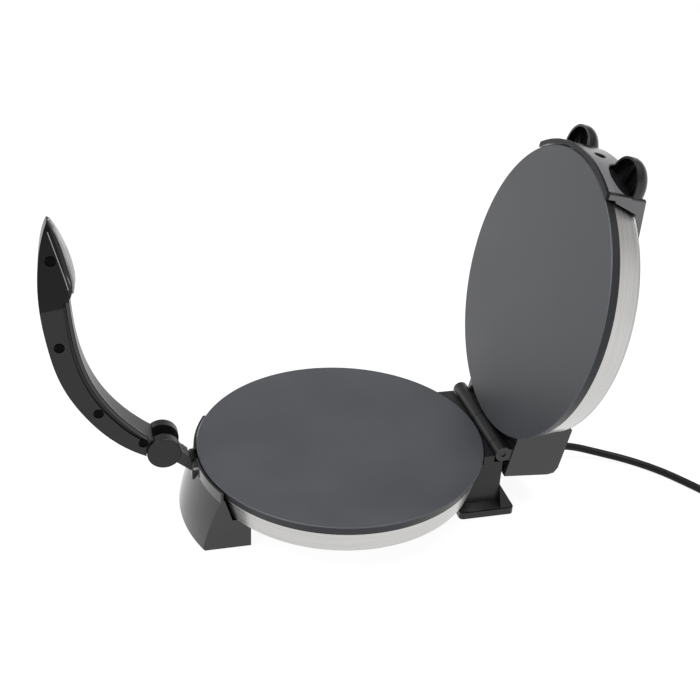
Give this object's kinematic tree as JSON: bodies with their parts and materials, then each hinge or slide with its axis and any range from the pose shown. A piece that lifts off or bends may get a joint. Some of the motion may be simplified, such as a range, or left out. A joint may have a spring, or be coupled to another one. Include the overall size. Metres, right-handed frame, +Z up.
{
  "type": "electric roti maker",
  "caption": "Electric flatbread press with two round hinged hot plates, steel bands, a front press lever on a link, a front foot and a rear hinge stand.",
  "frame": {"origin": "centre of the object's footprint box on the worktop, without the mains lead", "axes": "+Z up, +Y from the lever end to the hinge end, +X across, towards the lever's screwed side"},
  "size_m": [0.2606, 0.7405, 0.3252],
  "materials": {
    "nonstick_plate": "satin dark grey non-stick coating on cast aluminium",
    "brushed_band": "brushed, with fine turned lines",
    "pressed_steel": "plain mill finish",
    "bright_tray": "bright rolled",
    "black_gloss": "glossy black moulding",
    "black_satin": "satin black moulding",
    "painted_leaf": "black painted steel",
    "plain_steel": "zinc plated",
    "black_rubber": "matt black",
    "cord_jacket": "smooth black jacket",
    "plug_plastic": "satin black",
    "pin_brass": "plated",
    "grey_insert": "satin dark grey",
    "element_sheath": "dark oxidised sheath",
    "ceramic_white": "glazed",
    "red_lens": "clear red",
    "green_lens": "clear green",
    "lead_insulation": "heat-resistant sleeve"
  },
  "bodies": {
    "base": {"lower_plate": "nonstick_plate", "lower_element": "element_sheath", "base_band": "brushed_band", "bottom_pan": "pressed_steel", "lower_heat_shield": "bright_tray", "lower_studs": "plain_steel", "lower_thermal_fuse": "ceramic_white", "lower_leads": "lead_insulation", "terminal_block": "ceramic_white", "front_foot": "black_gloss", "hinge_stand": "black_satin", "front_foot_pads": "black_rubber", "hinge_stand_pads": "black_rubber", "foot_screws": "plain_steel", "foot_nuts": "plain_steel", "base_hinge_leaf": "painted_leaf", "base_leaf_screws": "plain_steel", "hinge_pin": "plain_steel", "link_pivot_pin": "plain_steel", "cord_strain_relief": "black_rubber", "mains_cord": "cord_jacket", "cord_coil": "cord_jacket", "plug_body": "plug_plastic", "plug_pins": "pin_brass"},
    "link": {"link_bar": "painted_leaf"},
    "lever": {"lever_body": "black_satin", "lever_side_cover": "black_satin", "lever_screws": "plain_steel", "grip_insert": "grey_insert", "lever_steel_core": "pressed_steel", "lever_pin": "plain_steel", "knuckle_cap_near": "black_satin", "knuckle_cap_far": "black_satin"},
    "lid": {"upper_plate": "nonstick_plate", "upper_element": "element_sheath", "lid_band": "brushed_band", "lid_cover": "pressed_steel", "upper_heat_shield": "bright_tray", "upper_studs": "plain_steel", "lid_thermal_fuse": "ceramic_white", "lid_front_housing": "black_gloss", "lid_rear_housing": "black_gloss", "front_housing_screws": "plain_steel", "housing_screws": "plain_steel", "lid_hinge_leaf": "painted_leaf", "lid_leaf_screws": "plain_steel", "thermostat": "ceramic_white", "lid_leads": "lead_insulation", "power_lamp_lens": "red_lens", "ready_lamp_lens": "green_lens", "indicator_lamps": "ceramic_white"}
  },
  "joints": [
    {"name": "lid_hinge", "type": "hinge", "parent": "base", "child": "lid", "pos_m": [0, 0.14502, 0.0603], "axis": [1, 0, 0], "range_deg": [0, 101.4]},
    {"name": "link_pivot", "type": "hinge", "parent": "base", "child": "link", "pos_m": [0, -0.12008, 0.0505], "axis": [-1, 0, 0], "range_deg": [0, 14]},
    {"name": "lever_pivot", "type": "hinge", "parent": "link", "child": "lever", "pos_m": [0, -0.14558, 0.0725], "axis": [-1, 0, 0], "range_deg": [0, 76]}
  ]
}
